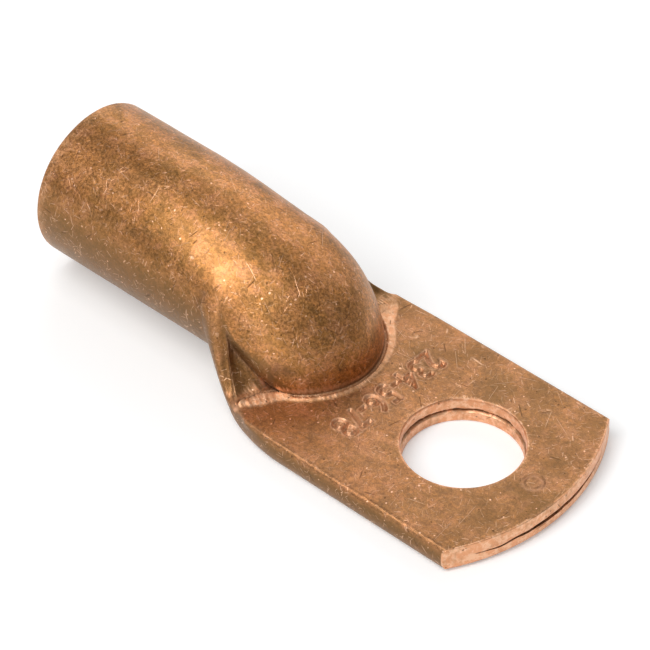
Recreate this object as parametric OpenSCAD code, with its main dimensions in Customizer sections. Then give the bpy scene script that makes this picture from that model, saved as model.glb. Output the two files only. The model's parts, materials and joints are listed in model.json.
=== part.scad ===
// Copper tubular cable lug: a plain round barrel for the conductor, pressed at
// one end into a flat two-layer palm with a bolt hole. It is one piece of tube.
// The origin is the bolt hole's centre on the seating face, +X runs from the
// barrel to the palm's end and +Z points up, away from the seating face.

/* [Barrel] */
// Outside diameter of the tube
barrel_d = 24; // [22:0.5:26]
// Wall of the tube
wall = 2.5; // [1.8:0.1:3]
// Distance from the bolt hole's centre to the barrel's mouth
barrel_reach = 71.5; // [66:0.5:90]
// Chamfer on the two edges of the mouth
mouth_break = 0.4; // [0.1:0.1:0.8]
// Gap between the seating plane and the underside of the barrel
barrel_lift = 0.1; // [0.08:0.02:0.3]

/* [Palm] */
// Width of the palm over its folded sides
palm_w = 35.2; // [33:0.2:40]
// Thickness of the two pressed layers together
palm_t = 4; // [3.4:0.1:4.8]
// Radius of the folded sides, more than half the thickness because they are pressed
fold_r = 2.5; // [2.45:0.05:3]
// Distance from the bolt hole's centre to the palm's end on the centre line
palm_reach = 17; // [14:0.5:22]
// Radius of the palm's cropped end, seen from above
end_r = 31.6; // [24:0.2:60]
// Chamfer that the crop leaves on the lower edge of the end
crop_roll = 0.6; // [0.2:0.1:1]
// Diameter of the bolt hole
hole_d = 17; // [13:0.5:19]

/* [Seam] */
// Thickness of the seam between the two layers
seam_t = 0.12; // [0.1:0.02:0.2]
// Height of the gap where the layers part at the palm's end
gap_h = 0.6; // [0.4:0.1:0.8]
// Width of that gap
gap_w = 29; // [20:1:30]
// Depth of that gap on the centre line
gap_depth = 3; // [1.5:0.5:5]

/* [Nose] */
// Distance from the bolt hole's centre to the tip of the nose on the palm
nose_reach = 18.8; // [17:0.1:24]
// Length over which the tube's top comes down to the palm
nose_len = 35.5; // [32:0.5:38]
// Length of the rounded tip, back from the point to its full width
tip_len = 12; // [9:0.1:13]
// Half of the nose's width where the rounded tip begins
tip_half_w = 11.6; // [10:0.1:11.8]
// How late the nose comes down, higher keeps it level for longer
nose_late = 1.5; // [1.3:0.05:2.2]
// How blunt the tip is, lower is blunter
nose_blunt = 0.41; // [0.38:0.01:0.6]
// Sideways lean of the nose, which the press leaves fuller on that side
lean = 0.6; // [-0.6:0.1:0.8]

/* [Bevel] */
// Width of the raised bevel round the tip of the nose
bevel_w = 1.1; // [0.6:0.1:1.6]
// Extra width of the bevel at the sides of the nose
bevel_flare = 1.2; // [0:0.1:2]
// Extra reach of the bevel's ends towards the folds
bevel_reach = 2.4; // [1:0.1:3]
// Height of the bevel where it meets the nose
bevel_h = 0.45; // [0.2:0.05:0.8]
// Angle round the tip, each way, that the bevel covers
bevel_sweep = 78; // [60:1:80]

/* [Shoulder] */
// Distance from the nose's tip back to where the sides begin to spread
spread_len = 19.2; // [17:0.2:21]
// Distance from the nose's tip back to the foot of the side pockets
pocket_foot = 8.4; // [6:0.2:9]
// Length of the side pockets, from their foot back to their top
pocket_len = 6; // [5:0.2:8]
// Height of the top of the side pockets over the seating face
pocket_z = 9.3; // [8:0.1:10.5]
// Sag of the pockets' floor
pocket_sag = 0.5; // [0:0.1:1]
// Length of the soft round-over at the foot of the ridge beside each pocket
ridge_foot = 1.8; // [1:0.1:3]
// How late the sides spread, higher is later
spread_late = 1.15; // [1:0.05:1.4]
// How soon the press flattens the tube's underside, lower is sooner
press_soon = 0.8; // [0.6:0.05:1]

/* [Hidden] */
$fn = 96;

eps = 0.01;
// How far the pressed form stands over the tube and the palm that run into it
proud = 0.03;
// How far one part of a union runs into its neighbours
sunk = 1;
// How far inside the tube's skin the spreading sides begin
tuck = 0.3;

barrel_r = barrel_d / 2;
form_r = barrel_r + proud;
side_r = form_r - tuck;
bore_r = barrel_r - wall;
barrel_z = barrel_r + barrel_lift;
tip_x = -nose_reach;
bend_x = tip_x - nose_len;
wide_x = tip_x - tip_len;
spread_x = tip_x - spread_len;
waist_x = spread_x + sunk;
foot_x = tip_x - pocket_foot;
pocket_x = foot_x - pocket_len;
bevel_turn = 0.7 * bevel_sweep;
fold_edge = fold_r - sqrt(fold_r * fold_r - palm_t * palm_t / 4);
top_z = palm_t + proud;

function mix(a, b, t) = a + (b - a) * t;
function share(x, a, b) = max(0, min(1, (x - a) / (b - a)));
function ease(x, a, b) = let (t = share(x, a, b)) t * t * (3 - 2 * t);

// The nose is the tube coming down to the palm. Its crest, half width, waist
// and middle give the outside, and the same with a skin gives the inside.
function crest_z(x, skin) =
    let (u = share(x, bend_x, tip_x - skin), foot = skin == 0 ? palm_t : palm_t / 2)
    mix(foot, barrel_z + form_r - skin, pow(1 - pow(u, nose_late), nose_blunt));
function nose_y(x, skin) =
    let (u = share(x, wide_x, tip_x - skin))
    (mix(form_r, tip_half_w, ease(x, spread_x, wide_x)) - skin) * sqrt(1 - u * u);
function waist_z(x) = mix(barrel_z, palm_t / 2, ease(x, waist_x, tip_x));
function middle_y(x) = lean * ease(x, spread_x, wide_x);
// The hollow's floor comes down to the seam between the layers
function hollow_z(x) = mix(wall, palm_t / 2, ease(x, wide_x, tip_x - wall));

// The sides spread from the round tube to the palm's folds
function side_y(x) = mix(side_r, palm_w / 2 + proud, pow(sin(90 * share(x, spread_x, tip_x)), spread_late));
function pressed(x) = pow(sin(90 * share(x, spread_x, foot_x)), press_soon);
function base_z(x) = mix(barrel_z - side_r, 0, ease(x, spread_x, wide_x));

// A ridge parts the outer flank from the pocket beside the nose. The form
// stands further forward on the side that the nose leans to.
function forward(side) = (1 + side) * lean;
function ridge_y(x, side) = min(palm_w / 2 - fold_edge,
    forward(side) * ease(x, pocket_x, foot_x - ridge_foot)
    + mix(palm_w / 2 - fold_edge, nose_y(x, 0) - tuck * share(x, pocket_x - sunk, spread_x),
        share(x, foot_x + ridge_foot, pocket_x - sunk)));
function ridge_z(x) =
    let (u = max(0, (foot_x - ridge_foot - x) / (pocket_len - ridge_foot)))
    min(max(waist_z(x) + sunk, top_z), top_z + (pocket_z - palm_t) * u * u);
function floor_z(x) = top_z + (pocket_z - palm_t) * share(x, foot_x, pocket_x);

module loft(rings) {
    n = len(rings[0]);
    m = len(rings);
    polyhedron(
        points = [for (ring = rings) each ring],
        faces = concat(
            [[for (i = [0 : n - 1]) i]],
            [for (k = [0 : m - 2], i = [0 : n - 1])
                [k * n + i, (k + 1) * n + i, (k + 1) * n + (i + 1) % n, k * n + (i + 1) % n]],
            [[for (i = [n - 1 : -1 : 0]) (m - 1) * n + i]]));
}

module along_x(x) {
    translate([x, 0, 0]) rotate([90, 0, 90]) children();
}

module barrel() {
    along_x(-barrel_reach) translate([0, barrel_z, 0]) {
        cylinder(r1 = barrel_r - mouth_break, r2 = barrel_r, h = mouth_break);
        translate([0, 0, mouth_break])
            cylinder(r = barrel_r, h = barrel_reach + bend_x - mouth_break);
    }
}

// The palm's end is an arc, with the crop's roll-over on its lower edge
module palm() {
    fold_y = palm_w / 2 - fold_r;
    intersection() {
        along_x(tip_x - sunk) linear_extrude(palm_reach + nose_reach + sunk) intersection() {
            translate([-palm_w / 2, 0]) square([palm_w, palm_t]);
            union() {
                translate([-fold_y, -sunk]) square([2 * fold_y, palm_t + 2 * sunk]);
                for (side = [-1, 1]) translate([side * fold_y, palm_t / 2]) circle(r = fold_r);
            }
        }
        translate([palm_reach - end_r, 0, 0]) {
            translate([0, 0, -eps]) cylinder(r1 = end_r - crop_roll - eps, r2 = end_r, h = crop_roll + eps);
            translate([0, 0, crop_roll]) cylinder(r = end_r, h = palm_t);
        }
    }
}

// One side of a ring of the pressed body: seating face, edge, flank, pocket
function body_side(x, side, arc = 10, flank = 6, floor = 5) =
    let (y = side_y(x), z = base_z(x),
         edge_w = mix(side_r - tuck, fold_edge, pressed(x)), edge_z = z + mix(side_r, palm_t / 2, pressed(x)),
         ry = ridge_y(x, side), rz = ridge_z(x - forward(side)), fz = floor_z(x - forward(side)),
         inner = max(tuck, nose_y(x, 0) - 1.5 * sunk), round = ease(x, pocket_x, foot_x))
    [for (p = concat(
        [for (i = [0 : arc]) let (a = -90 + 90 * i / arc)
            [y - edge_w + edge_w * cos(a), edge_z + (edge_z - z) * sin(a)]],
        [for (i = [1 : flank]) let (t = i / flank)
            [mix(y, ry, mix(ease(t, 0, 1), 1 - cos(90 * t), round)),
             mix(edge_z, rz, mix(t, sin(90 * t), round))]],
        [for (i = [1 : floor]) let (t = i / floor)
            [mix(ry, inner, t),
             mix(rz, fz, t) - pocket_sag * sin(180 * t) * share(x, foot_x, foot_x - ridge_foot)]]))
        [x, side * p[0], p[1]]];

function reversed(list) = [for (i = [len(list) - 1 : -1 : 0]) list[i]];

module body(slices = 40) {
    loft([for (k = [0 : slices]) let (x = mix(spread_x, tip_x, k / slices))
        concat(body_side(x, 1), reversed(body_side(x, -1)))]);
}

module nose(skin = 0, slices = 36, top = 24, under = 24) {
    loft([for (k = [0 : slices])
        let (x = mix(bend_x - max(skin, sunk), tip_x - skin - eps, sin(90 * k / slices)),
             w = nose_y(x, skin), z = waist_z(x), up = crest_z(x, skin) - z,
             down = mix(form_r - skin, z - (skin == 0 ? sunk : hollow_z(x)), ease(x, spread_x, wide_x)))
        concat(
            [for (i = [0 : top]) let (a = 180 * i / top)
                [x, middle_y(x) + w * cos(a), z + up * sin(a)]],
            [for (i = [1 : under - 1]) let (a = 180 + 180 * i / under)
                [x, middle_y(x) + w * cos(a), z + down * sin(a)]])]);
}

// A low collar that slopes up from the palm to the nose
module bevel(slices = 32) {
    function round_tip(a, out, more = 0) =
        [wide_x + (tip_len + out) * cos(a), lean + (tip_half_w + out + more) * sin(a)];
    root_z = palm_t / 2 + sunk;
    lip_z = palm_t + bevel_h;
    loft([for (k = [0 : slices])
        let (a = mix(-bevel_sweep, bevel_sweep, k / slices),
             inner = round_tip(a, -sunk), lip = round_tip(a, eps),
             outer = round_tip(a, bevel_w + bevel_flare * pow(sin(a), 2),
                 bevel_reach * ease(abs(a), bevel_turn, bevel_sweep)))
        [[inner[0], inner[1], root_z], [inner[0], inner[1], lip_z], [lip[0], lip[1], lip_z],
         [outer[0], outer[1], palm_t], [outer[0], outer[1], root_z]]]);
}

// The seam between the layers, from the hollow of the nose to the palm's end,
// where it opens into a gap as the layers spring apart
module seam() {
    seam_w = palm_w - 2 * palm_t;
    lens_r = (gap_w * gap_w / 4 + gap_h * gap_h / 4) / gap_h;
    seam_x = tip_x - 2 * wall;
    translate([seam_x, -seam_w / 2, (palm_t - seam_t) / 2])
        cube([palm_reach + sunk - seam_x, seam_w, seam_t]);
    translate([palm_reach - gap_depth, 0, palm_t / 2]) rotate([90, 0, 90])
        linear_extrude(2 * gap_depth) intersection() {
            translate([0, gap_h / 2 - lens_r]) circle(r = lens_r, $fn = 720);
            translate([0, lens_r - gap_h / 2]) circle(r = lens_r, $fn = 720);
        }
}

module cable_lug() {
    color("#b0703f") difference() {
        union() {
            barrel();
            palm();
            body();
            nose();
            bevel();
        }
        along_x(-barrel_reach - eps) translate([0, barrel_z, 0]) {
            cylinder(r = bore_r, h = barrel_reach + bend_x + eps);
            cylinder(r1 = bore_r + mouth_break, r2 = bore_r, h = mouth_break);
        }
        nose(skin = wall, slices = 20, top = 16, under = 16);
        seam();
        translate([0, 0, -sunk]) cylinder(d = hole_d, h = palm_t + 2 * sunk);
    }
}

cable_lug();
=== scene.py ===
# Copper cable lug: one length of tube, pressed flat at one end and punched for a bolt.
# Everything is modelled in millimetres in the CAD frame and scaled to metres at the end.
import json
from math import atan2, cos, hypot, pi, radians, sin, sqrt

import bmesh
import bpy
from mathutils import Euler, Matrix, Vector, noise
from mathutils.bvhtree import BVHTree
from mathutils.kdtree import KDTree


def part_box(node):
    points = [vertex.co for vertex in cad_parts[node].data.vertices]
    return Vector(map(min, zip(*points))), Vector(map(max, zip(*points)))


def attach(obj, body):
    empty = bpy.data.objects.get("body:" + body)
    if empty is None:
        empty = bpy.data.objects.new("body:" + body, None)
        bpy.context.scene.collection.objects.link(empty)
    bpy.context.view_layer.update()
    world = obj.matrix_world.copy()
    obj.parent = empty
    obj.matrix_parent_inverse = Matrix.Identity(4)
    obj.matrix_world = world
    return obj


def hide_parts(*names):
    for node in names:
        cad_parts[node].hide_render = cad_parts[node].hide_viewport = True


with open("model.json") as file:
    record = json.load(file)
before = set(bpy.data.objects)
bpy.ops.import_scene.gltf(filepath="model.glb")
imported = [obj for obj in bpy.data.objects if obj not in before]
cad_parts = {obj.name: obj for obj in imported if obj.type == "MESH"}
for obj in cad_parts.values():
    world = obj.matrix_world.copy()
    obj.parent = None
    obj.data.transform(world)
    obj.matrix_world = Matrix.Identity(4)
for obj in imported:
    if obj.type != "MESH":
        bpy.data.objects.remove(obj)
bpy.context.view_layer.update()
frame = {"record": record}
lowCorner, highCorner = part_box("cable_lug")
mounts = {mount["name"]: mount for mount in frame["record"]["mounts"]}
print("frame loaded")


def mix(a, b, t):
    return a + (b - a) * t


def share(x, a, b):
    return max(0.0, min(1.0, (x - a) / (b - a)))


def ease(x, a, b):
    t = share(x, a, b)
    return t * t * (3 - 2 * t)


def bump(x, centre, width):
    t = (x - centre) / width
    return max(0.0, 1 - t * t) ** 2


# sizes in millimetres, the outer ones read back from the CAD part
skinGap = 0.03  # the skin keeps this far inside the CAD box
overlap = 1.0  # how far a piece's hidden end runs into its neighbour
lug = {
    "boreR": mounts["conductor_bore"]["dims"]["r_mm"],
    "holeR": mounts["bolt_hole"]["dims"]["r_mm"],
    "palmT": mounts["bolt_hole"]["dims"]["length_mm"],
    "barrelZ": mounts["conductor_bore"]["pos_m"][2] * 1000,
    "mouthX": lowCorner.x * 1000,
    "endX": highCorner.x * 1000,
    "halfW": highCorner.y * 1000 - skinGap,
    "topZ": highCorner.z * 1000,
    "foldR": 2.5,
    "endR": 31.6,
    "noseReach": 18.8,
    "noseLen": 35.5,
    "tipLen": 12.0,
    "tipHalfW": 11.6,
    "noseLate": 1.5,
    "noseBlunt": 0.41,
    "lean": 0.6,
    "spreadLen": 19.2,
    "spreadLate": 1.15,
    "sideTuck": 0.12,
    "sideEarly": 0.4,
    "pressSoon": 0.8,
    "pocketFoot": 8.4,
    "pocketLen": 6.0,
    "pocketZ": 9.3,
    "pocketSag": 0.5,
    "ridgeFoot": 1.8,
    "ridgeRise": 0.6,
    "leastVolume": 13100,
    "mostVolume": 13600,
}
tubeR = lug["topZ"] - lug["barrelZ"] - skinGap
wall = tubeR - lug["boreR"]
barrelZ = lug["barrelZ"]
palmT = lug["palmT"]
tipX = -lug["noseReach"]
bendX = tipX - lug["noseLen"]
wideX = tipX - lug["tipLen"]
spreadX = tipX - lug["spreadLen"]
waistX = spreadX + overlap
sideStart = spreadX - lug["sideEarly"]
footX = tipX - lug["pocketFoot"]
pocketX = footX - lug["pocketLen"]
foldEdge = lug["foldR"] - sqrt(lug["foldR"] ** 2 - palmT ** 2 / 4)
flatY = lug["halfW"] - foldEdge
print("tube radius", round(tubeR, 3), "wall", round(wall, 3))


def crestZ(x, skin):
    u = share(x, bendX, tipX - skin)
    foot = palmT if skin == 0 else palmT / 2
    return mix(foot, barrelZ + tubeR - skin, (1 - u ** lug["noseLate"]) ** lug["noseBlunt"])


def noseY(x, skin):
    u = share(x, wideX, tipX - skin)
    return (mix(tubeR, lug["tipHalfW"], ease(x, spreadX, wideX)) - skin) * sqrt(1 - u * u)


def waistZ(x):
    return mix(barrelZ, palmT / 2, ease(x, waistX, tipX))


def sideY(x):
    spread = sin(pi / 2 * share(x, sideStart, tipX)) ** lug["spreadLate"]
    return mix(tubeR - lug["sideTuck"], lug["halfW"], spread)


def pressed(x):
    return sin(pi / 2 * share(x, spreadX, footX)) ** lug["pressSoon"]


def baseZ(x):
    return mix(barrelZ - tubeR + lug["sideTuck"], 0, ease(x, spreadX, wideX))


def forward(side):
    return (1 + side) * lug["lean"]


def ridgeY(x, side):
    if x >= footX + lug["ridgeFoot"]:
        return flatY
    run = share(x, footX + lug["ridgeFoot"], pocketX - overlap)
    out = forward(side) * ease(x, pocketX, footX - lug["ridgeFoot"])
    return min(flatY, out + mix(flatY, noseY(x, 0), run))


def ridgeZ(x):
    u = max(0.0, (footX - lug["ridgeFoot"] - x) / (lug["pocketLen"] - lug["ridgeFoot"]))
    return min(max(waistZ(x) + lug["ridgeRise"], palmT), palmT + (lug["pocketZ"] - palmT) * u * u)


def hollowZ(x):
    # the hollow's floor comes down to the seam between the layers
    return mix(wall, palmT / 2, ease(x, wideX, tipX - wall))


def stations(stops):
    # spacing that changes along a length: (start, step), (next start, step), ... (end, 0)
    out = []
    for (start, step), (end, nextStep) in zip(stops, stops[1:]):
        count = max(1, round((end - start) / step))
        out += [start + (end - start) * i / count for i in range(count)]
    return out + [stops[-1][0]]


def sheetOf(rows, columns, placeAt):
    # a flat grid whose vertices are carried to placeAt(row, column)
    bm = bmesh.new()
    bmesh.ops.create_grid(bm, x_segments=rows, y_segments=columns, size=1)
    for v in bm.verts:
        row = round((v.co.x + 1) / 2 * rows)
        column = round((v.co.y + 1) / 2 * columns)
        v.co = placeAt(row, column)
    return bm


def closeRings(bm):
    bmesh.ops.remove_doubles(bm, verts=bm.verts, dist=0.0005)
    bmesh.ops.dissolve_degenerate(bm, edges=bm.edges, dist=0.0005)
    bmesh.ops.holes_fill(bm, edges=[e for e in bm.edges if e.is_boundary], sides=0)
    bmesh.ops.recalc_face_normals(bm, faces=bm.faces)
    return bm


def toObject(bm, name):
    mesh = bpy.data.meshes.new(name)
    bm.to_mesh(mesh)
    bm.free()
    obj = bpy.data.objects.new(name, mesh)
    bpy.context.scene.collection.objects.link(obj)
    return obj


def cut(target, tool, operation):
    step = target.modifiers.new("cut", "BOOLEAN")
    step.operation = operation
    step.solver = "EXACT"
    step.object = tool
    graph = bpy.context.evaluated_depsgraph_get()
    mesh = bpy.data.meshes.new_from_object(target.evaluated_get(graph))
    target.modifiers.clear()
    target.data = mesh
    bpy.data.objects.remove(tool)
    print(operation.lower(), len(mesh.polygons), "faces")


# the round tube and the nose it comes down to
tube = {
    "around": 160,
    "boreAround": 96,
    "mouthBreak": 0.4,
    "boreBreak": 1.5,
    "mouthWobble": 0.12,
    "dentDepth": 0.05,
    "dentSize": 7.0,
}


def mouthTaper(x, skin):
    # the broken edges of the cut end: the outside closes in, the bore opens
    run = max(0.0, mouthX + tube["mouthBreak"] - x)
    return -run if skin == 0 else min(run, tube["boreBreak"])


def tubeSkin(skin, rowsAt, around):
    # skin is the depth under the outside: 0 makes the outside, the wall makes the hollow
    def tubePlace(row, column):
        x = rowsAt[row]
        a = 2 * pi * column / around
        taper = mouthTaper(x, skin)
        w = noseY(x, skin) + taper
        z = waistZ(x)
        up = crestZ(x, skin) - z + taper
        floor = overlap if skin == 0 else hollowZ(x)
        down = mix(tubeR - skin, z - floor, ease(x, spreadX, wideX)) + taper
        y = lug["lean"] * ease(x, spreadX, wideX) + w * cos(a)
        z += (up if sin(a) > 0 else down) * sin(a)
        if skin == 0 and x == mouthX:
            x += tube["mouthWobble"] * (0.5 + 0.5 * noise.noise(Vector((3 * cos(a), 3 * sin(a), 4))))
        return Vector((x, y, z))

    return closeRings(sheetOf(len(rowsAt) - 1, around, tubePlace))


def dentInwards(bm, centre):
    # handling leaves the skin very slightly uneven, and only ever inwards
    for v in bm.verts:
        n = noise.noise(v.co / tube["dentSize"]) + 0.35 * noise.noise(v.co / 1.9)
        axis = Vector((v.co.x, 0, centre))
        v.co += (axis - v.co).normalized() * tube["dentDepth"] * max(0.0, 0.5 + n)


mouthX = lug["mouthX"]
noseRows = [mix(wideX + 2, tipX - 0.004, sin(pi / 2 * i / 70)) for i in range(71)]
barrelStops = [(mouthX, 0.1), (mouthX + tube["mouthBreak"], 1.0), (bendX, 0.8), (-36, 0.45), (wideX + 2, 0)]
outerBm = tubeSkin(0, stations(barrelStops)[:-1] + noseRows, tube["around"])
dentInwards(outerBm, barrelZ)
lugBody = toObject(outerBm, "cableLugSkin")
print("tube skin", len(lugBody.data.polygons), "faces")

# the shoulder and the palm: seating face, edge, flank, pocket floor and the flat top
palm = {
    "arc": 10,
    "flank": 26,
    "flankTuck": 0.12,
    "flankLift": (5.0, 6.0),
    "flankRise": 0.42,
    "flankRound": (0.5, 0.4),
    "edgeIn": 0.5,
    "edgeLow": 0.3,
    "floorTuck": 1.5,
    "floorLeast": (0.3, 0.5),
    "footBack": 0.8,
    "under": 24,
    "bandW": 1.1,
    "bandFlare": 1.2,
    "bandReach": 2.4,
    "bandH": 0.45,
    "bandRipple": 0.05,
    "bandSweep": (radians(62), radians(78)),
    "tongue": [(-28.4, -15.6, 0.4), (-28.35, -14.2, 1.6), (-27.4, -11.8, 2.2), (-26.1, -10.1, 1.9),
               (-24.5, -9.1, 1.3), (-23.0, -7.9, 1.1)],
    "tongueBox": ((-30, -20), (-17, -6)),
    "tongueH": 0.6,
    "tongueGroove": 0.28,
    "grooveW": 0.32,
    "grooveDepth": 0.3,
    "uneven": 0.045,
}
rowsAt = stations([
    (sideStart, 0.35), (-30, 0.25), (-21, 0.15), (-17.6, 0.12), (-10.4, 0.4), (10.2, 0.15), (14.4, 0.3),
    (lug["endX"] + 1, 0)])
topShares = stations([(0, 0.16), (flatY, 0)])
topShares = [y / flatY for y in topShares][::-1]
sideCount = palm["under"] + palm["arc"] + palm["flank"] + len(topShares) - 1


def noseSide(x, z, side):
    # where the nose's skin stands at a height, and the direction that it climbs in
    w = noseY(x, 0)
    up = crestZ(x, 0) - waistZ(x) if z > waistZ(x) else waistZ(x) - overlap
    s = max(-0.98, min(0.98, (z - waistZ(x)) / up))
    c = sqrt(1 - s * s)
    middle = side * lug["lean"] * ease(x, spreadX, wideX)
    return middle + w * c, Vector((-w * s, up * c)).normalized()


def flankPoint(x, t, start, end, climb):
    # a curve that leaves the edge upright and lies down on the nose or on the ridge
    soft = ease(x, pocketX, footX)
    climb = climb.lerp(Vector((-1, 0)), soft).normalized()
    span = (end - start).length
    rise = Vector((0, palm["flankRise"] * span))
    points = (start, start + rise, end - climb * mix(*palm["flankRound"], soft) * span, end)
    weights = ((1 - t) ** 3, 3 * t * (1 - t) ** 2, 3 * t * t * (1 - t), t ** 3)
    return sum((weight * point for weight, point in zip(weights, points)), Vector((0, 0)))


def sidePoint(x, side, k):
    # counts from the middle of the underside, round the edge, up the flank and back in over the top
    y = sideY(x)
    z = baseZ(x)
    press = pressed(x)
    edgeW = mix(tubeR - palm["edgeIn"], foldEdge, press)
    edgeZ = z + mix(tubeR - palm["edgeLow"], palmT / 2, press)
    shifted = x - forward(side)
    lift = palm["flankLift"][side > 0]
    rz = mix(ridgeZ(shifted), waistZ(x) + lift, ease(x, pocketX, spreadX + 1.5))
    skinY, climb = noseSide(x, rz, side)
    ry = mix(ridgeY(x, side), skinY - palm["flankTuck"], share(x, pocketX + 0.5, pocketX - overlap))
    if k < palm["under"]:
        return (y - edgeW) * k / palm["under"], z
    k -= palm["under"]
    if k < palm["arc"]:
        a = -pi / 2 + pi / 2 * k / palm["arc"]
        return y - edgeW + edgeW * cos(a), edgeZ + (edgeZ - z) * sin(a)
    k -= palm["arc"]
    if k < palm["flank"]:
        point = flankPoint(x, k / palm["flank"], Vector((y, edgeZ)), Vector((ry, rz)), climb)
        return point.x, point.y
    y = ry * topShares[k - palm["flank"]]
    fromRidge, fromMiddle = palm["floorLeast"]
    inner = min(ry - fromRidge, max(fromMiddle, noseY(x, 0) - palm["floorTuck"]))
    t = share(y, ry, inner)
    foot = footX if side > 0 else footX - palm["footBack"]
    fz = palmT + (lug["pocketZ"] - palmT) * share(shifted, foot, pocketX)
    return y, mix(rz, fz, t) - lug["pocketSag"] * sin(pi * t) * share(x, footX, footX - lug["ridgeFoot"])


def palmPlace(row, column):
    x = rowsAt[row]
    k = column if column <= sideCount else 2 * sideCount - column
    side = 1 if column <= sideCount else -1
    y, z = sidePoint(x, side, k)
    return Vector((x, side * y, z))


def bandAt(x, y):
    # the press leaves a low sloping band round the nose's tip, with a groove at its inner border
    # gives its rise and the share of fresh metal
    out = Vector((x - wideX, y - lug["lean"]))
    a = atan2(out.y / lug["tipHalfW"], out.x / lug["tipLen"])
    sweep = palm["bandSweep"][a > 0]
    if x < wideX or abs(a) > sweep:
        return 0.0, 0.0
    d = out.length - hypot(lug["tipLen"] * cos(a), lug["tipHalfW"] * sin(a))
    wide = palm["bandW"] + palm["bandFlare"] * max(0.0, sin(a)) ** 2
    wide += palm["bandReach"] * ease(a, 0.7 * sweep, sweep)
    fade = 1 - ease(abs(a), 0.85 * sweep, sweep)
    groove = -fade * palm["grooveDepth"] * bump(d, 0.12, palm["grooveW"])
    if not -0.6 < d < wide:
        return groove, 0.0
    drawn = noise.noise(Vector((a * 46, d * 0.6, 2)))
    rise = fade * (palm["bandH"] * (1 - max(0.0, d) / wide) ** 0.8 + palm["bandRipple"] * drawn)
    return groove + rise, fade * ease(wide - d, 0, 0.35) * (0.5 + 0.5 * sin(a) ** 2) * (0.85 + 0.4 * drawn)


def tongueAt(x, y):
    # on one side the band leaves the nose and runs out to the fold as a pointed tongue
    # gives its rise, the share of fresh metal and the share of painted shade in the groove behind it
    (fromX, toX), (fromY, toY) = palm["tongueBox"]
    if not (fromX < x < toX and fromY < y < toY):
        return 0.0, 0.0, 0.0
    here = Vector((x, y))
    best = None
    for (ax, ay, aw), (bx, by, bw) in zip(palm["tongue"], palm["tongue"][1:]):
        start, run = Vector((ax, ay)), Vector((bx - ax, by - ay))
        t = max(0.0, min(1.0, (here - start).dot(run) / run.length_squared))
        gap = here - start - run * t
        if best is None or gap.length < best[0]:
            best = (gap.length, run.x * gap.y - run.y * gap.x > 0, mix(aw, bw, t), ay + run.y * t)
    away, behind, wide, along = best
    fade = ease(along, palm["tongue"][0][1], -14.8) * (1 - ease(along, -9.2, -7.9))
    drawn = noise.noise(Vector((along * 3.4, away * 0.3, 8)))
    if behind:
        crest = max(0.0, 1 - away / 0.2)
        grooveShade = bump(away, 0.34, 0.3)
        return fade * (palm["tongueH"] * crest - palm["tongueGroove"] * grooveShade), fade * crest, fade * grooveShade
    if away > wide:
        return 0.0, 0.0, 0.0
    rise = mix(palm["tongueH"], palm["bandH"], share(along, -12, -9)) * (1 - away / wide) ** 0.9
    rise += palm["bandRipple"] * drawn
    return fade * rise, fade * ease(wide - away, 0, 0.4) * (0.9 + 0.5 * drawn), 0.0


# a struck row of plain figures that stand for nothing
struck = {
    "figures": "234-56-78",
    "middle": (-14.1, 0.4),
    "height": 4.6,
    "run": 20.6,
    "depth": 0.44,
    "slope": 0.33,
    "lip": 0.12,
    "lipReach": 0.34,
    "lipBare": 0.45,
    "wallBare": 0.7,
    "margin": 0.8,
    "ring": (12.2, 0.4),
    "ringR": 1.35,
    "ringDepth": 0.16,
}


def struckOutline():
    # the row laid flat in its place: its faces to ask what is inside, its rim points to measure from
    curve = bpy.data.curves.new("struckRow", "FONT")
    curve.body = struck["figures"]
    curve.offset = 0.03
    obj = bpy.data.objects.new("struckRow", curve)
    bpy.context.scene.collection.objects.link(obj)
    graph = bpy.context.evaluated_depsgraph_get()
    graph.update()
    mesh = bpy.data.meshes.new_from_object(obj.evaluated_get(graph))
    bpy.data.objects.remove(obj)
    bm = bmesh.new()
    bm.from_mesh(mesh)
    middleX, middleY = struck["middle"]
    xs = [v.co.x for v in bm.verts]
    ys = [v.co.y for v in bm.verts]
    for v in bm.verts:
        along = (v.co.x - min(xs)) / (max(xs) - min(xs)) - 0.5
        up = (v.co.y - min(ys)) / (max(ys) - min(ys)) - 0.5
        v.co = Vector((middleX + up * struck["height"], middleY - along * struck["run"], 0))
    bmesh.ops.remove_doubles(bm, verts=bm.verts, dist=0.0005)
    points = []
    for e in [e for e in bm.edges if e.is_boundary]:
        a, b = e.verts[0].co, e.verts[1].co
        count = max(1, int((b - a).length / 0.05))
        points += [a.lerp(b, i / count) for i in range(count)]
    tree = KDTree(len(points))
    for i, p in enumerate(points):
        tree.insert(p, i)
    tree.balance()
    inside = BVHTree.FromBMesh(bm)
    bm.free()
    return inside, tree


figureFaces, figureRims = struckOutline()


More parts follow.
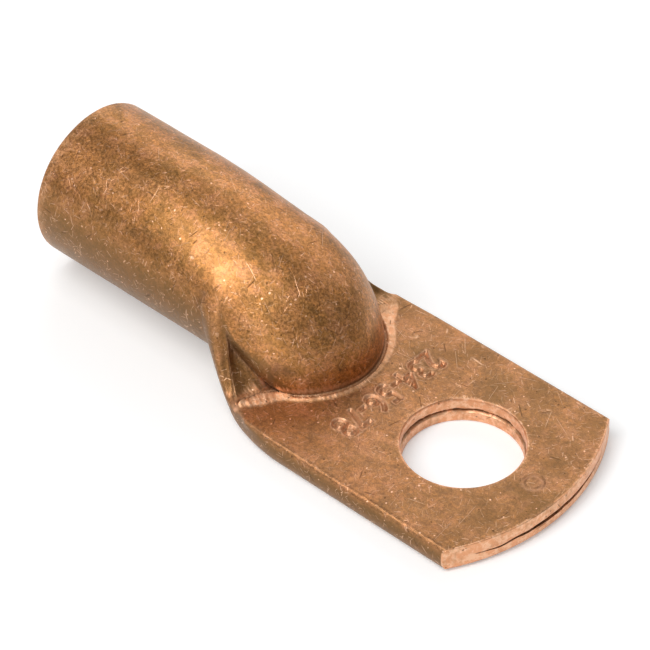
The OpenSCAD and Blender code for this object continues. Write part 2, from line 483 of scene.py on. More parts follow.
def struckAt(x, y):
    # a plain punch ring near the palm's end, and the row of figures
    # gives the rise and the share of fresh metal, which on the figures' walls is partly painted highlight
    ringX, ringY = struck["ring"]
    d = abs(hypot(x - ringX, y - ringY) - struck["ringR"])
    faint = 0.6 + 0.8 * noise.noise(Vector((x * 0.9, y * 0.9, 5)))
    if d < 0.6:
        rise = faint * (0.05 * bump(d, 0.42, 0.2) - struck["ringDepth"] * bump(d, 0, 0.34))
        return rise, 0.3 * bump(d, 0.1, 0.3)
    cx, cy = struck["middle"]
    reach = struck["margin"]
    if abs(x - cx) > struck["height"] / 2 + reach or abs(y - cy) > struck["run"] / 2 + reach:
        return 0.0, 0.0
    flat = Vector((x, y, 0))
    d = figureRims.find(flat)[2]
    hit = figureFaces.ray_cast(flat + Vector((0, 0, 1)), Vector((0, 0, -1)))[0]
    uneven = 0.8 + 0.4 * noise.noise(Vector((x * 0.5, y * 0.4, 7)))
    if hit is None:
        away = 1 - ease(d, 0, struck["lipReach"])
        return struck["lip"] * uneven * away, struck["lipBare"] * away
    deep = -struck["depth"] * uneven * ease(d, 0, struck["slope"])
    bare = struck["wallBare"] * (1 - ease(d, 0.6 * struck["slope"], 1.4 * struck["slope"]))
    return deep + struck["lip"] * (1 - ease(d, 0, 0.1)), bare


def pressMarks(bm):
    moved = 0
    for v in bm.verts:
        x, y, z = v.co
        if not palmT - 0.6 < z < palmT + 3 or x < wideX:
            continue
        rise = max(bandAt(x, y)[0], tongueAt(x, y)[0], key=abs)
        if z > palmT - 0.05:
            uneven = noise.noise(v.co * 0.22) + 0.4 * noise.noise(v.co * 0.8)
            rise += struckAt(x, y)[0] - palm["uneven"] * max(0.0, 0.4 + uneven)
        v.co.z += rise
        moved += rise != 0
    print("marks moved", moved, "points")


palmBm = closeRings(sheetOf(len(rowsAt) - 1, 2 * sideCount, palmPlace))
pressMarks(palmBm)
palmObj = toObject(palmBm, "palmSkin")
print("palm skin", len(palmObj.data.polygons), "faces")


def lathe(profile, centreX, steps, name):
    # a closed solid of revolution about a line along Z, from (radius, z) points on the axis at both ends
    bm = bmesh.new()
    verts = [bm.verts.new((centreX + r, 0, z)) for r, z in profile]
    edges = [bm.edges.new(pair) for pair in zip(verts, verts[1:])]
    bmesh.ops.spin(
        bm, geom=verts + edges, cent=(centreX, 0, 0), axis=(0, 0, 1), angle=2 * pi, steps=steps,
        use_merge=True)
    bmesh.ops.remove_doubles(bm, verts=bm.verts, dist=0.0005)
    bmesh.ops.recalc_face_normals(bm, faces=bm.faces)
    return toObject(bm, name)


# the crop at the palm's end rolls its lower edge over and leaves the two layers showing
crop = {"roll": 0.6, "topRound": 0.14, "bulge": 0.08, "steps": 512}
r = lug["endR"]
cropProfile = [
    (0, -2), (r - 0.9, -2), (r - crop["roll"], -0.02), (r - 0.28, 0.22), (r - 0.1, 0.45), (r, 0.8),
    (r, 1.5), (r - crop["bulge"], 1.95), (r - crop["bulge"], 2.05), (r - 0.03, 2.3), (r - 0.04, 3.7),
    (r - 0.09, palmT - crop["topRound"] / 2), (r - 0.2, palmT + 0.01), (r - 0.6, palmT + 0.4),
    (r - 0.6, 30), (0, 30)]
cropTool = lathe(cropProfile, lug["endX"] - lug["endR"], crop["steps"], "cropTool")
cut(palmObj, cropTool, "INTERSECT")

# the punched bolt hole: a rolled rim, two layers that don't quite line up and a torn seam
hole = {"upperStep": 0.2, "seamDeep": 0.55, "seamHalf": 0.6, "tear": 0.22, "seamWave": 0.14, "steps": 240}
r = lug["holeR"]
upper = r + hole["upperStep"]
holeProfile = [
    (0, -1), (r + 0.8, -1), (r + 0.3, -0.12), (r + 0.1, 0.06), (r, 0.3), (r, 0.8), (r, 1.3),
    (r + 0.02, 1.65), (r + 0.12, 1.74), (r + hole["seamDeep"], 1.88), (r + hole["seamDeep"], 2.08),
    (upper + 0.05, 2.24), (upper, 2.5), (upper, 3.0), (upper, 3.5), (upper + 0.03, 3.8),
    (upper + 0.12, 3.93), (upper + 0.22, palmT + 0.04), (upper + 0.7, palmT + 0.5), (0, palmT + 0.5)]
holeTool = lathe(holeProfile, 0, hole["steps"], "holeTool")
for v in holeTool.data.vertices:
    if abs(v.co.z - palmT / 2) < hole["seamHalf"] and v.co.xy.length > r - 1:
        out = v.co.xy.normalized()
        near = 1 - abs(v.co.z - palmT / 2) / hole["seamHalf"]
        torn = noise.noise(Vector((out.x * 7, out.y * 7, 1)))
        torn += 0.5 * noise.noise(Vector((out.x * 19, out.y * 19, 6)))
        v.co.xy += out * hole["tear"] * near * max(-0.4, torn)
        v.co.z += hole["seamWave"] * noise.noise(Vector((out.x * 4, out.y * 4, 9)))
cut(palmObj, holeTool, "DIFFERENCE")

# tube and palm become one
cut(lugBody, palmObj, "UNION")

# the hollow: bore and the inside of the nose
hollowRows = stations([(mouthX - 0.6, 0.3), (mouthX + 0.6, 2.0), (bendX - wall, 1.2), (wideX, 0)])[:-1]
hollowRows += [mix(wideX, tipX - wall - 0.004, sin(pi / 2 * i / 24)) for i in range(25)]
cut(lugBody, toObject(tubeSkin(wall, hollowRows, tube["boreAround"]), "hollow"), "DIFFERENCE")

# the seam between the layers, which opens at the palm's end
seam = {
    "thick": 0.1,
    "gapH": 0.6,
    "gapW": 28.5,
    "gapDepth": 3.4,
    "wave": 0.12,
    "rough": 0.03,
    "curl": 0.26,
    "curlAt": (-10.5, 3.5),
    "inset": 4.0,
    "columns": 72,
}


def seamHalf(x, y):
    lens = max(0.0, 1 - (2 * y / seam["gapW"]) ** 2) * share(x, lug["endX"] - seam["gapDepth"], lug["endX"])
    return seam["thick"] / 2 + seam["gapH"] / 2 * lens


def seamPlace(row, column):
    # over the top from one side to the other, and back underneath
    x = seamRows[row]
    turn = seam["columns"]
    t = column / turn if column <= turn else 2 - column / turn
    top = 1 if column <= turn else -1
    y = mix(-1, 1, t) * (lug["halfW"] - seam["inset"])
    middle = palmT / 2 + seam["wave"] * noise.noise(Vector((x * 0.45, y * 0.45, 3)))
    middle -= seam["curl"] * bump(y, *seam["curlAt"]) * share(x, 8, lug["endX"])
    edge = 0.0 if t in (0, 1) else 1.0
    half = seamHalf(x, y) + seam["rough"] * noise.noise(Vector((x, y, top)))
    return Vector((x, y, middle + top * edge * half))


seamRows = stations([(tipX - 1.6 * wall, 0.6), (lug["endX"] - 3.6, 0.3), (lug["endX"] + 1.5, 0)])
seamBm = closeRings(sheetOf(len(seamRows) - 1, 2 * seam["columns"], seamPlace))
cut(lugBody, toObject(seamBm, "seam"), "DIFFERENCE")

# smoothing where the sides flare out of the tube
blend = {
    "fromX": spreadX - 1.2,
    "toX": pocketX + 2.5,
    "topZ": 11.5,
    "rounds": 10,
    "leastTurn": radians(2.5),
    "maxTurn": radians(32),
}


def blendFlare(bm):
    # the sides grow out of the tube with no crease
    near = set()
    for e in bm.edges:
        turn = e.calc_face_angle(0) if len(e.link_faces) == 2 else 0
        if not blend["leastTurn"] <= turn <= blend["maxTurn"]:
            continue
        middle = (e.verts[0].co + e.verts[1].co) / 2
        outside = hypot(middle.y, middle.z - barrelZ) > tubeR - 1
        if blend["fromX"] < middle.x < blend["toX"] and middle.z < blend["topZ"] and outside:
            near.update(e.verts)
    for i in range(2):
        near.update([e.other_vert(v) for v in list(near) for e in v.link_edges])
    near = [v for v in near if hypot(v.co.y, v.co.z - barrelZ) > tubeR - 0.6]
    for i in range(blend["rounds"]):
        bmesh.ops.smooth_vert(
            bm, verts=near, factor=0.5, use_axis_x=True, use_axis_y=True, use_axis_z=True)
    print("blended", len(near), "points")


# the masks that the finish reads: fresh metal, worn edges, painted shade in creases, and painted shade on
# the sides, pockets and nose's foot with browner patches on the palm
marks = {
    "fullTurn": 0.9,
    "wallNear": 0.5,
    "endNear": 0.3,
    "mouthDeep": 0.45,
    "mouthRim": 0.3,
    "pressNear": 1.2,
    "creaseNear": 0.6,
    "creaseSteep": 0.55,
    "pocketTop": 9.5,
    "pocketShade": 0.8,
    "footShade": 0.7,
    "footHigh": 1.2,
    "handledShade": 0.34,
    "softRounds": 2,
    "softKeep": 0.8,
}


def freshAt(x, y, z):
    # cut and newly pressed metal; the struck figures' walls are partly painted highlight
    fromAxis = hypot(y, z - barrelZ)
    inWall = abs(hypot(x, y) - lug["holeR"]) < marks["wallNear"] and -0.1 < z < palmT - 0.02
    fromArc = abs(hypot(x - lug["endX"] + lug["endR"], y) - lug["endR"])
    inEnd = x > 8 and fromArc < marks["endNear"] and z < palmT
    inMouth = x < mouthX + marks["mouthDeep"] and fromAxis > lug["boreR"] - 0.1
    if inWall or inEnd or inMouth:
        return marks["mouthRim"] if inMouth and fromAxis > tubeR - 0.6 else 1.0
    if abs(z - palmT) >= marks["pressNear"] or x <= wideX:
        return 0.0
    drawn = 0.5 + 1.4 * noise.noise(Vector((y * 4.2, (x + z) * 0.35, 12)))
    slope = bump(x - forward(1 if y > 0 else -1), footX - 1.4, 1.5)
    slope = 0.8 * drawn * slope * (abs(y) > 8.5)
    pressedIn = max(bandAt(x, y)[1], tongueAt(x, y)[1], slope)
    return max(0.0, min(1.0, pressedIn + struckAt(x, y)[1]))


def shadeAt(v):
    # painted shade: the sides, the underside, the pockets and the nose's foot are made browner
    x, y, z = v.co
    outside = hypot(y, z - barrelZ) > tubeR - 0.8 or z < palmT
    shade = ease(-v.normal.z, -0.6, -0.05) if outside else 0
    inPocket = wideX - 3 < x < footX + 0.5 and abs(y) > noseY(x, 0) - 1
    if inPocket and palmT < z < marks["pocketTop"]:
        shade = max(shade, marks["pocketShade"])
    footTop = palmT + marks["footHigh"]
    if x > wideX and palmT < z < footTop and v.normal.z < 0.5:
        shade = max(shade, marks["footShade"] * (1 - ease(z, palmT, footTop)))
    return shade


def inCrease(v):
    # the line where the nose meets the palm, which gets painted shade
    x, y, z = v.co
    onNose = wideX < x < struck["middle"][0] and abs(y) < noseY(x, 0) + 1
    return onNose and abs(z - palmT) < marks["creaseNear"] and v.normal.z < marks["creaseSteep"]


def endPatchesAt(x, y, z):
    # the palm's end and its far side are browner in patches
    if x <= footX or z <= palmT - 0.3:
        return 0.0
    patchy = marks["handledShade"] + 0.5 * noise.noise(Vector((x * 0.22, y * 0.22, 21)))
    return patchy * (max(ease(x, 3, 14), ease(y, 1, 10)) * ease(abs(z - palmT), 1.0, 0.5))


def softenMark(bm, layer):
    # carries a mark a little way over its neighbours
    for i in range(marks["softRounds"]):
        soft = {}
        for v in bm.verts:
            if v.link_edges:
                around = sum(e.other_vert(v)[layer] for e in v.link_edges) / len(v.link_edges)
                soft[v] = max(v[layer] * marks["softKeep"], around)
        for v, value in soft.items():
            v[layer] = value


def markSurface(bm):
    bm.normal_update()
    fresh = bm.verts.layers.float.new("fresh")
    worn = bm.verts.layers.float.new("worn")
    grime = bm.verts.layers.float.new("grime")
    shelter = bm.verts.layers.float.new("shelter")
    for v in bm.verts:
        x, y, z = v.co
        turns = [e.calc_face_angle_signed(0) for e in v.link_edges if len(e.link_faces) == 2]
        v[worn] = min(1.0, max(turns + [0]) / marks["fullTurn"])
        v[grime] = min(1.0, max([-t for t in turns] + [0]) / marks["fullTurn"])
        v[fresh] = freshAt(x, y, z)
        # painted shade in concave creases, less of it on fresh metal
        shadeKept = 1 - 0.75 * min(1.0, 1.4 * v[fresh])
        v[grime] = max(v[grime] * shadeKept, 0.9 * tongueAt(x, y)[2])
        # painted shade on the sides, underside, pockets and nose's foot, none on fresh metal
        v[shelter] = shadeAt(v) * (1 - v[fresh])
        # painted shade along the crease where the nose meets the palm, with no fresh metal there
        if inCrease(v):
            v[grime] = 1.0
            v[fresh] = 0.0
        # browner patches towards the palm's end and far side go into the same mask
        v[shelter] = max(v[shelter], endPatchesAt(x, y, z) * (1 - v[fresh]))
    softenMark(bm, worn)
    softenMark(bm, grime)


bm = bmesh.new()
bm.from_mesh(lugBody.data)
bmesh.ops.remove_doubles(bm, verts=bm.verts, dist=0.002)
bmesh.ops.dissolve_degenerate(bm, edges=bm.edges, dist=0.001)
blendFlare(bm)
volume = bm.calc_volume()
print("volume", round(volume, 1), "cubic mm")
if not lug["leastVolume"] < volume < lug["mostVolume"]:
    raise RuntimeError("a cut has gone wrong, the lug's volume is " + str(volume))
markSurface(bm)
low, high = lowCorner * 1000, highCorner * 1000
for v in bm.verts:
    v.co = Vector(min(max(v.co[i], low[i]), high[i]) for i in range(3))
print("kept inside the CAD box")

# corners stay sharp, and the figures' rims only where they turn hard
sharpTurn = {"plain": radians(33), "row": radians(80)}
sharp = 0
for e in bm.edges:
    turn = e.calc_face_angle(0) if len(e.link_faces) == 2 else pi
    middle = (e.verts[0].co + e.verts[1].co) / 2
    inRow = abs(middle.x - struck["middle"][0]) < struck["height"] and abs(middle.y) < 12 and middle.z > 3
    e.smooth = turn < sharpTurn["row" if inRow else "plain"]
    sharp += not e.smooth
for f in bm.faces:
    f.smooth = True
bmesh.ops.scale(bm, vec=(0.001, 0.001, 0.001), verts=bm.verts)
bm.to_mesh(lugBody.data)
bm.free()
lugBody.data.update()
print("lug mesh", len(lugBody.data.polygons), "faces", sharp, "sharp edges")
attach(lugBody, "root")
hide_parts("cable_lug")


# materials
def group(name, inputs, outputs):
    tree = bpy.data.node_groups.new(name, "ShaderNodeTree")
    for label, kind, value in inputs:
        socket = tree.interface.new_socket(name=label, in_out="INPUT", socket_type=kind)
        if value is not None:
            socket.default_value = value
    for label, kind in outputs:
        tree.interface.new_socket(name=label, in_out="OUTPUT", socket_type=kind)
    return tree, tree.nodes.new("NodeGroupInput"), tree.nodes.new("NodeGroupOutput")


def maths(tree, operation, a, b=None, clamp=False):
    node = tree.nodes.new("ShaderNodeMath")
    node.operation = operation
    node.use_clamp = clamp
    for i, value in enumerate((a, b)):
        if value is None:
            continue
        if isinstance(value, (int, float)):
            node.inputs[i].default_value = value
        else:
            tree.links.new(value, node.inputs[i])
    return node.outputs[0]


def times(tree, a, b):
    return maths(tree, "MULTIPLY", a, b)


def ramp(tree, value, low, high, lowOut=0.0, highOut=1.0):
    node = tree.nodes.new("ShaderNodeMapRange")
    node.interpolation_type = "SMOOTHSTEP"
    tree.links.new(value, node.inputs["Value"])
    node.inputs["From Min"].default_value = low
    node.inputs["From Max"].default_value = high
    node.inputs["To Min"].default_value = lowOut
    node.inputs["To Max"].default_value = highOut
    return node.outputs["Result"]


def noiseOf(tree, vector, scale, detail=3.0, rough=0.5, distortion=0.0):
    node = tree.nodes.new("ShaderNodeTexNoise")
    tree.links.new(vector, node.inputs["Vector"])
    node.inputs["Scale"].default_value = scale
    node.inputs["Detail"].default_value = detail
    node.inputs["Roughness"].default_value = rough
    node.inputs["Distortion"].default_value = distortion
    return node


def vectorMath(tree, operation, a, b=None, scale=None):
    node = tree.nodes.new("ShaderNodeVectorMath")
    node.operation = operation
    tree.links.new(a, node.inputs[0])
    if isinstance(b, (tuple, list)):
        node.inputs[1].default_value = b
    elif b is not None:
        tree.links.new(b, node.inputs[1])
    if scale is not None:
        node.inputs["Scale"].default_value = scale
    return node


def colourMix(tree, factor, a, b, blend="MIX"):
    node = tree.nodes.new("ShaderNodeMix")
    node.data_type = "RGBA"
    node.blend_type = blend
    for key, value in (("Factor", factor), ("A", a), ("B", b)):
        socket = next(q for q in node.inputs if q.name == key and q.enabled)
        if isinstance(value, (int, float)):
            socket.default_value = value
        elif isinstance(value, tuple):
            socket.default_value = (*value, 1)
        else:
            tree.links.new(value, socket)
    return next(q for q in node.outputs if q.enabled)


def scratchGroup():
    # short straight scratches, one to a cell, each with its own direction
    tree, start, end = group(
        "shortScratches",
        [("Vector", "NodeSocketVector", None), ("Cells per mm", "NodeSocketFloat", 0.4),
         ("Width", "NodeSocketFloat", 0.04), ("Length", "NodeSocketFloat", 1.2),
         ("Offset", "NodeSocketVector", None)],
        [("Mask", "NodeSocketFloat")])
    moved = vectorMath(tree, "ADD", start.outputs["Vector"], start.outputs["Offset"]).outputs[0]
    wander = noiseOf(tree, moved, 0.7, 1).outputs["Color"]
    bent = vectorMath(tree, "MULTIPLY_ADD", wander, (0.015, 0.015, 0.015))  # very nearly straight
    tree.links.new(moved, bent.inputs[2])
    cells = tree.nodes.new("ShaderNodeTexVoronoi")
    tree.links.new(bent.outputs[0], cells.inputs["Vector"])
    tree.links.new(start.outputs["Cells per mm"], cells.inputs["Scale"])
    local = vectorMath(tree, "SUBTRACT", bent.outputs[0], cells.outputs["Position"]).outputs[0]
    tilt = vectorMath(tree, "SUBTRACT", cells.outputs["Color"], (0.5, 0.5, 0.5)).outputs[0]
    tilt = vectorMath(tree, "NORMALIZE", tilt).outputs[0]
    across = maths(tree, "ABSOLUTE", vectorMath(tree, "DOT_PRODUCT", local, tilt).outputs["Value"])
    along = vectorMath(tree, "LENGTH", local).outputs["Value"]
    lineMask = maths(tree, "SUBTRACT", 1, maths(tree, "DIVIDE", across, start.outputs["Width"]), clamp=True)
    uneven = vectorMath(tree, "DOT_PRODUCT", cells.outputs["Color"], (0.55, 0.25, 0.0)).outputs["Value"]
    reach = maths(tree, "MULTIPLY", start.outputs["Length"], maths(tree, "ADD", uneven, 0.1))
    endMask = maths(tree, "SUBTRACT", 1, maths(tree, "DIVIDE", along, reach), clamp=True)
    endMask = maths(tree, "MULTIPLY", endMask, 3, clamp=True)  # full width until near the end
    tree.links.new(maths(tree, "MULTIPLY", lineMask, endMask), end.inputs["Mask"])
    return tree


def pitGroup():
    # small round pits and nicks, only in some of the cells
    tree, start, end = group(
        "smallPits",
        [("Vector", "NodeSocketVector", None), ("Cells per mm", "NodeSocketFloat", 0.5),
         ("Radius", "NodeSocketFloat", 0.12), ("Share", "NodeSocketFloat", 0.5)],
        [("Mask", "NodeSocketFloat")])
    cells = tree.nodes.new("ShaderNodeTexVoronoi")
    ragged = noiseOf(tree, start.outputs["Vector"], 3.0, 2).outputs["Color"]
    bent = vectorMath(tree, "MULTIPLY_ADD", ragged, (0.25, 0.25, 0.25))
    tree.links.new(start.outputs["Vector"], bent.inputs[2])
    tree.links.new(bent.outputs[0], cells.inputs["Vector"])
    tree.links.new(start.outputs["Cells per mm"], cells.inputs["Scale"])
    away = vectorMath(tree, "LENGTH", vectorMath(
        tree, "SUBTRACT", bent.outputs[0], cells.outputs["Position"]).outputs[0]).outputs["Value"]
    pick = tree.nodes.new("ShaderNodeSeparateColor")
    tree.links.new(cells.outputs["Color"], pick.inputs[0])
    chosen = maths(tree, "LESS_THAN", pick.outputs["Red"], start.outputs["Share"])
    size = maths(tree, "MULTIPLY", start.outputs["Radius"], maths(tree, "ADD", pick.outputs["Green"], 0.4))
    spot = maths(tree, "SUBTRACT", 1, maths(tree, "DIVIDE", away, size), clamp=True)
    spot = maths(tree, "MULTIPLY", spot, 2.5, clamp=True)  # a clear edge
    tree.links.new(maths(tree, "MULTIPLY", spot, chosen), end.inputs["Mask"])
    return tree


def tarnishGroup():
    # how copper has browned: broad clouds, streaks drawn along the tube and fine grain
    tree, start, end = group(
        "copperTarnish", [("Vector", "NodeSocketVector", None)],
        [("Cloud", "NodeSocketFloat"), ("Streak", "NodeSocketFloat"), ("Grain", "NodeSocketFloat"),
         ("Patch", "NodeSocketFloat"), ("Fleck", "NodeSocketFloat")])
    vector = start.outputs["Vector"]
    tree.links.new(noiseOf(tree, vector, 0.10, 3, 0.55).outputs["Fac"], end.inputs["Cloud"])
    drawn = vectorMath(tree, "MULTIPLY", vector, (0.10, 0.7, 0.7)).outputs[0]
    tree.links.new(noiseOf(tree, drawn, 1.0, 4, 0.6).outputs["Fac"], end.inputs["Streak"])
    tree.links.new(noiseOf(tree, vector, 2.4, 4, 0.85).outputs["Fac"], end.inputs["Grain"])
    tree.links.new(noiseOf(tree, vector, 0.34, 5, 0.7, 0.2).outputs["Fac"], end.inputs["Patch"])
    tree.links.new(noiseOf(tree, vector, 0.95, 4, 0.75).outputs["Fac"], end.inputs["Fleck"])
    return tree


shortScratches = scratchGroup()
smallPits = pitGroup()
copperTarnish = tarnishGroup()


def placeGroup(tree, nodeGroup, vector, **values):
    node = tree.nodes.new("ShaderNodeGroup")
    node.node_tree = nodeGroup
    tree.links.new(vector, node.inputs["Vector"])
    for key, value in values.items():
        label = {"cells": "Cells per mm", "width": "Width", "length": "Length", "offset": "Offset",
                 "radius": "Radius", "share": "Share"}[key]
        node.inputs[label].default_value = value
    return node


copper = {
    "olive": (0.30, 0.152, 0.038),
    "brown": (0.41, 0.180, 0.056),
    "orange": (0.67, 0.28, 0.078),
    "salmon": (0.71, 0.325, 0.158),
    "pale": (0.62, 0.33, 0.165),
    "pressed": (0.44, 0.232, 0.150),
    # a dark brown for real stains and for painted shade
    "sheltered": (0.160, 0.084, 0.024),
    "bright": (0.98, 0.60, 0.38),
    "cut": (0.84, 0.40, 0.205),
    "dark": (0.075, 0.034, 0.014),
    "roughness": 0.40,
    "metallic": 0.85,
    "cloudShare": 0.5,
    "stainShare": 0.42,
    "patchShare": 0.48,
    "fleckShare": 0.45,
    "streakShare": 0.16,
    "speckleShare": 0.8,
    "pressedShare": 0.22,
    "shelterShare": 0.8,
    "lineShare": 0.66,
    "bareShare": 0.85,
    "pitShare": 0.6,
    "scarShare": 0.6,
    "grimeShare": 0.7,
    "grimeDull": 0.3,
}
# cells per mm, then width, length or radius in mm
scratches = {
    "fine": {"cells": 0.8, "width": 0.06, "length": 1.1},
    "fineMore": {"cells": 1.1, "width": 0.055, "length": 0.7, "offset": (31, 7, 13)},
    "long": {"cells": 0.24, "width": 0.05, "length": 3.0, "offset": (3, 71, 41)},
    "scar": {"cells": 0.26, "width": 0.12, "length": 1.9, "offset": (17, 5, 91)},
}
pits = {
    "nick": {"cells": 0.9, "radius": 0.15, "share": 0.45},
    "pit": {"cells": 1.0, "radius": 0.15, "share": 0.5},
}


def lugCopper():
    material = bpy.data.materials.new("tarnishedCopper")
    material.use_nodes = True
    tree = material.node_tree
    tree.nodes.clear()
    surface = tree.nodes.new("ShaderNodeOutputMaterial")
    shader = tree.nodes.new("ShaderNodeBsdfPrincipled")
    tree.links.new(shader.outputs[0], surface.inputs[0])
    coords = tree.nodes.new("ShaderNodeTexCoord")
    mm = vectorMath(tree, "SCALE", coords.outputs["Object"], scale=1000.0).outputs[0]
    masks = {}
    for name in ("fresh", "worn", "grime", "shelter"):
        node = tree.nodes.new("ShaderNodeAttribute")
        node.attribute_name = name
        masks[name] = node.outputs["Fac"]
    tarnish = placeGroup(tree, copperTarnish, mm)
    cloud = ramp(tree, tarnish.outputs["Cloud"], 0.38, 0.62)
    patch = ramp(tree, tarnish.outputs["Patch"], 0.47, 0.63)
    fleck = ramp(tree, tarnish.outputs["Fleck"], 0.50, 0.64)
    streak = ramp(tree, tarnish.outputs["Streak"], 0.4, 0.7)
    grain = ramp(tree, tarnish.outputs["Grain"], 0.36, 0.64)
    colour = colourMix(tree, times(tree, cloud, copper["cloudShare"]), copper["brown"], copper["olive"])
    stain = ramp(tree, tarnish.outputs["Patch"], 0.45, 0.36)
    colour = colourMix(tree, times(tree, stain, copper["stainShare"]), colour, copper["sheltered"])
    colour = colourMix(tree, times(tree, patch, copper["patchShare"]), colour, copper["salmon"])
    colour = colourMix(tree, times(tree, fleck, copper["fleckShare"]), colour, copper["orange"])
    colour = colourMix(tree, times(tree, streak, copper["streakShare"]), colour, copper["pale"])
    speckle = colourMix(tree, grain, (0.27, 0.26, 0.25), (0.74, 0.72, 0.70))
    colour = colourMix(tree, copper["speckleShare"], colour, speckle, "OVERLAY")
    split = tree.nodes.new("ShaderNodeSeparateXYZ")
    tree.links.new(mm, split.inputs[0])
    # the press has left the flat faces pinker than the round tube
    flat = ramp(tree, split.outputs["Z"], palmT + 1.2, palmT - 0.1)
    colour = colourMix(tree, times(tree, flat, copper["pressedShare"]), colour, copper["pressed"])
    # painted shade: the sides, underside, pockets and nose's foot darkened, with browner patches on the
    # palm's end and far side
    shaded = times(tree, masks["shelter"], copper["shelterShare"])
    colour = colourMix(tree, shaded, colour, copper["sheltered"])
    # scratches and nicks show brighter metal, pits and dark scars hold the dark, and creases get painted
    # shade
    fine = placeGroup(tree, shortScratches, mm, **scratches["fine"]).outputs["Mask"]
    fineMore = placeGroup(tree, shortScratches, mm, **scratches["fineMore"]).outputs["Mask"]
    long = placeGroup(tree, shortScratches, mm, **scratches["long"]).outputs["Mask"]
    scar = placeGroup(tree, shortScratches, mm, **scratches["scar"]).outputs["Mask"]
    nick = placeGroup(tree, smallPits, mm, **pits["nick"]).outputs["Mask"]
    pit = placeGroup(tree, smallPits, mm, **pits["pit"]).outputs["Mask"]
    # the small ones come in crowds, the long ones anywhere
    crowd = ramp(tree, tarnish.outputs["Patch"], 0.44, 0.58, 0.35, 1.0)
    fine = times(tree, maths(tree, "MAXIMUM", fine, fineMore), crowd)
    lines = maths(tree, "MAXIMUM", fine, long)
    lit = maths(tree, "MAXIMUM", times(tree, lines, copper["lineShare"]), nick)
    colour = colourMix(tree, lit, colour, copper["bright"])
    # bare metal at cuts, pressed bands and worn corners, never quite even; the struck figures' walls are
    # partly painted highlight
    evenCut = ramp(tree, tarnish.outputs["Patch"], 0.3, 0.55, 0.6, 1.0)
    freshCut = times(tree, masks["fresh"], evenCut)
    evenEdge = ramp(tree, tarnish.outputs["Grain"], 0.35, 0.6, 0.15, 0.7)
    edge = times(tree, masks["worn"], evenEdge)
    bare = maths(tree, "MAXIMUM", freshCut, edge, clamp=True)
    cutTint = ramp(tree, tarnish.outputs["Fleck"], 0.42, 0.6)
    cutColour = colourMix(tree, cutTint, copper["cut"], copper["bright"])
    colour = colourMix(tree, times(tree, bare, copper["bareShare"]), colour, cutColour)
    darkPit = times(tree, pit, copper["pitShare"])
    darkScar = times(tree, scar, copper["scarShare"])
    dark = maths(tree, "MAXIMUM", darkPit, darkScar)
    dark = maths(tree, "MAXIMUM", dark, times(tree, masks["grime"], copper["grimeShare"]))
    colour = colourMix(tree, dark, colour, copper["dark"])
    tree.links.new(colour, shader.inputs["Base Color"])
    # creases with painted shade are less metallic, and dark spots are rougher than the bright lines
    dull = times(tree, masks["grime"], copper["grimeDull"])
    metallic = maths(tree, "SUBTRACT", copper["metallic"], dull, clamp=True)
    tree.links.new(metallic, shader.inputs["Metallic"])
    rough = maths(tree, "ADD", copper["roughness"] - 0.06, times(tree, grain, 0.12))
    rough = maths(tree, "SUBTRACT", rough, times(tree, lines, 0.08))
    rough = maths(tree, "ADD", rough, times(tree, dark, 0.25), clamp=True)
    tree.links.new(rough, shader.inputs["Roughness"])
    height = times(tree, tarnish.outputs["Grain"], 0.8)
    height = maths(tree, "SUBTRACT", height, times(tree, lines, 0.5))
    height = maths(tree, "SUBTRACT", height, times(tree, dark, 0.9))
    bumps = tree.nodes.new("ShaderNodeBump")
    bumps.inputs["Strength"].default_value = 0.5
    bumps.inputs["Distance"].default_value = 0.00008
    tree.links.new(height, bumps.inputs["Height"])
    tree.links.new(bumps.outputs[0], shader.inputs["Normal"])
    return material


lugBody.data.materials.clear()
lugBody.data.materials.append(lugCopper())
for polygon in lugBody.data.polygons:
    polygon.material_index = 0
print("copper finish ready")

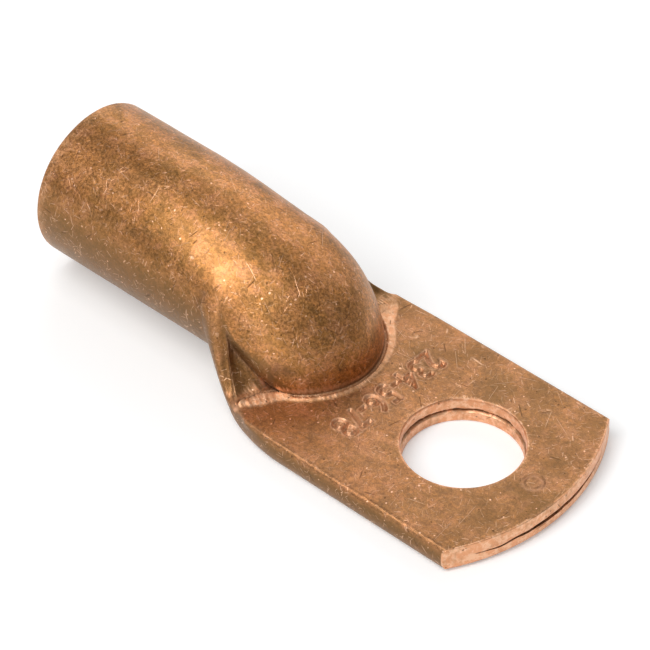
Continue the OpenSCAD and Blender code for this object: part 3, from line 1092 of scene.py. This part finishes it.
# the plain pale stage
stageSet = {"floorColour": (0.84, 0.84, 0.84), "size": 4.0, "ambient": 0.34, "glow": 0.24}
bm = bmesh.new()
bmesh.ops.create_grid(bm, x_segments=1, y_segments=1, size=stageSet["size"])
bmesh.ops.translate(bm, verts=bm.verts, vec=(0, 0, -0.00002))
floor = toObject(bm, "floor")
paper = bpy.data.materials.new("palePaper")
paper.use_nodes = True
tree = paper.node_tree
sheet = tree.nodes["Principled BSDF"]
sheet.inputs["Base Color"].default_value = (*stageSet["floorColour"], 1)
sheet.inputs["Roughness"].default_value = 0.9
sheet.inputs["Emission Color"].default_value = (1, 1, 1, 1)
path = tree.nodes.new("ShaderNodeLightPath")
seen = maths(tree, "MAXIMUM", path.outputs["Is Camera Ray"], path.outputs["Is Glossy Ray"])
seen = maths(tree, "MAXIMUM", seen, path.outputs["Is Transmission Ray"])
tree.links.new(maths(tree, "MULTIPLY", seen, stageSet["glow"]), sheet.inputs["Emission Strength"])
floor.data.materials.append(paper)

world = bpy.data.worlds.new("studio")
bpy.context.scene.world = world
world.use_nodes = True
tree = world.node_tree
tree.nodes.clear()
sky = tree.nodes.new("ShaderNodeBackground")
out = tree.nodes.new("ShaderNodeOutputWorld")
sky.inputs["Strength"].default_value = stageSet["ambient"]
tree.links.new(sky.outputs[0], out.inputs[0])

lamps = [
    {"name": "key", "from": (-0.10, -0.56, 0.82), "away": 0.62, "size": (0.25, 0.46), "watts": 2.3},
    {"name": "side", "from": (0.38, -0.85, 0.30), "away": 0.60, "size": (0.18, 0.20), "watts": 0.5},
    {"name": "rear", "from": (-0.30, 0.78, 0.55), "away": 0.65, "size": (0.70, 0.45), "watts": 1.5},
    {"name": "top", "from": (0.02, -0.12, 1.0), "away": 0.70, "size": (0.24, 0.24), "watts": 0.75},
]
for lamp in lamps:
    light = bpy.data.lights.new(lamp["name"], "AREA")
    light.shape = "RECTANGLE"
    light.size, light.size_y = lamp["size"]
    light.energy = lamp["watts"]
    obj = bpy.data.objects.new(lamp["name"], light)
    obj.location = Vector((-0.027, 0, 0.008)) + Vector(lamp["from"]).normalized() * lamp["away"]
    obj.rotation_euler = (Vector((-0.02, 0, 0.005)) - obj.location).to_track_quat("-Z", "Y").to_euler()
    bpy.context.scene.collection.objects.link(obj)

camera = bpy.data.objects.new("camera", bpy.data.cameras.new("camera"))
bpy.context.scene.collection.objects.link(camera)
camera.location = (0.2205, -0.2610, 0.3340)
camera.rotation_euler = Euler((radians(47.939), radians(0.795), radians(42.612)))
camera.data.lens = 191.16
camera.data.sensor_width = 36
camera.data.clip_start = 0.01
bpy.context.scene.camera = camera
bpy.context.scene.view_settings.view_transform = "Standard"
